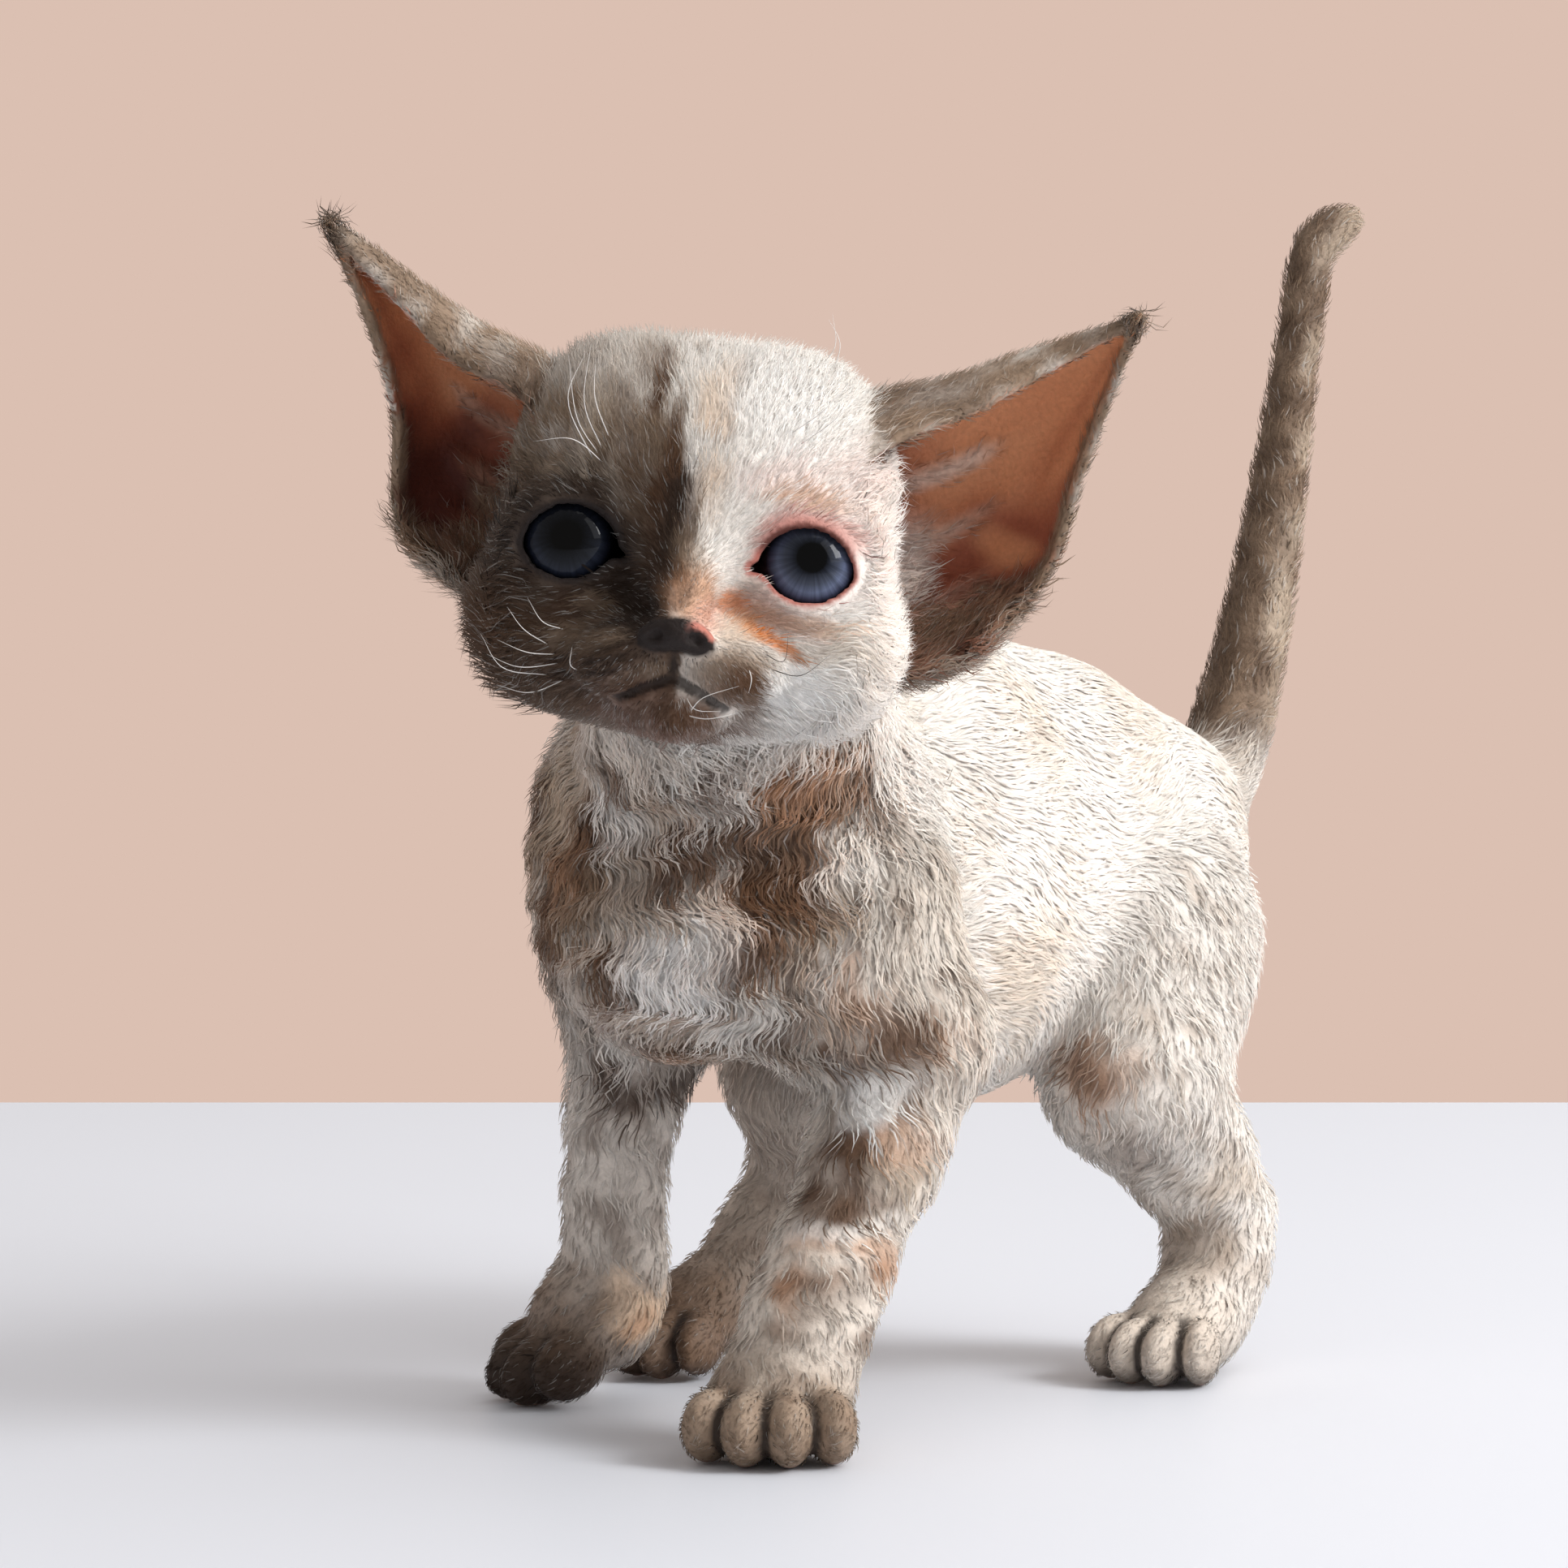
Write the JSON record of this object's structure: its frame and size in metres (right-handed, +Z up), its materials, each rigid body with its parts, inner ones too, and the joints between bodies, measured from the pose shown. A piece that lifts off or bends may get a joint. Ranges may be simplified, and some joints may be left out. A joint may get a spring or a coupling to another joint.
{
  "type": "devon rex cat",
  "caption": "Life-size still figure of a young curly-coated cat in mid-step, its head turned to its left, with large cupped ears, big round eyes and a raised tail.",
  "frame": {"origin": "on the floor under the middle of the animal's box", "axes": "+Z up, the trunk faces -Y and the animal's left side is at +X"},
  "size_m": [0.1156, 0.2158, 0.1781],
  "materials": {
    "coat_cream": "short wavy cream coat",
    "coat_tabby": "short grey-brown and cream tabby coat",
    "coat_dark": "short dark seal-brown coat",
    "ear_skin": "thin pink skin with short fur on its back",
    "eye": "wet slate-blue eye",
    "whisker": "fine white whiskers"
  },
  "bodies": {
    "root": {"head": "coat_tabby", "neck": "coat_cream", "torso": "coat_cream", "tail_base": "coat_dark", "tail_middle": "coat_dark", "tail_tip": "coat_dark", "ear_left": "ear_skin", "ear_right": "ear_skin", "eye_left": "eye", "eye_right": "eye", "leg_front_left": "coat_tabby", "leg_front_right": "coat_tabby", "leg_hind_left": "coat_tabby", "leg_hind_right": "coat_tabby", "paw_front_left": "coat_dark", "paw_front_right": "coat_dark", "paw_hind_left": "coat_dark", "paw_hind_right": "coat_dark"}
  },
  "joints": []
}
